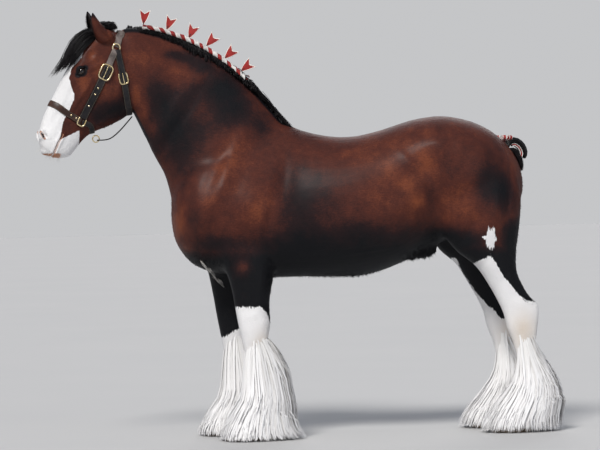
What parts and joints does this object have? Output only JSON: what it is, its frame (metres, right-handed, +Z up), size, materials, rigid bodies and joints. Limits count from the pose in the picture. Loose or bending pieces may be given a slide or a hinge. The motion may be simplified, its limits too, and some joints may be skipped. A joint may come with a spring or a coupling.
{
  "type": "clydesdale horse",
  "caption": "Life-size bay Clydesdale stallion standing in show trim, with white feathered legs, a blaze, leather halter, ribboned and flagged mane and a bunned tail.",
  "frame": {"origin": "centre of the bounding box at floor level, under the horse's belly", "axes": "+X from head to tail, +Y to the horse's right side, +Z up"},
  "size_m": [2.9624, 0.7756, 2.4479],
  "materials": {
    "bay_coat": "short glossy bay coat over skin",
    "black_hair": "coarse black hair with a soft sheen",
    "white_hair": "long silky white hair",
    "hoof_horn": "rasped horn, satin",
    "eye": "wet dark brown, very smooth",
    "halter_leather": "dark oiled strap leather, satin",
    "brass_fittings": "polished",
    "red_cloth": "woven ribbon, slight sheen",
    "white_ribbon": "woven ribbon, matt"
  },
  "bodies": {
    "root": {"buckle_cheek_left": "brass_fittings", "buckle_cheek_right": "brass_fittings", "buckle_throat_left": "brass_fittings", "buckle_throat_right": "brass_fittings", "ear_left": "bay_coat", "ear_right": "bay_coat", "eye_left": "eye", "eye_right": "eye", "flag_1": "red_cloth", "flag_2": "red_cloth", "flag_3": "red_cloth", "flag_4": "red_cloth", "flag_5": "red_cloth", "flag_6": "red_cloth", "forehoof_left": "hoof_horn", "forehoof_right": "hoof_horn", "foreleg_left_lower": "white_hair", "foreleg_left_upper": "bay_coat", "foreleg_right_lower": "white_hair", "foreleg_right_upper": "bay_coat", "halter_cheek_left": "halter_leather", "halter_cheek_right": "halter_leather", "halter_chin": "halter_leather", "halter_crown": "halter_leather", "halter_jaw": "halter_leather", "halter_noseband": "halter_leather", "halter_throat": "halter_leather", "head": "bay_coat", "hindhoof_left": "hoof_horn", "hindhoof_right": "hoof_horn", "hindleg_left_lower": "white_hair", "hindleg_left_upper": "bay_coat", "hindleg_right_lower": "white_hair", "hindleg_right_upper": "bay_coat", "mane_roll": "black_hair", "neck": "bay_coat", "ribbon_red": "red_cloth", "ribbon_white": "white_ribbon", "ring_chin": "brass_fittings", "ring_left": "brass_fittings", "ring_right": "brass_fittings", "square_left": "brass_fittings", "square_right": "brass_fittings", "tail_band": "red_cloth", "tail_bow": "red_cloth", "tail_bun": "black_hair", "tail_dock": "black_hair", "torso": "bay_coat"}
  },
  "joints": []
}
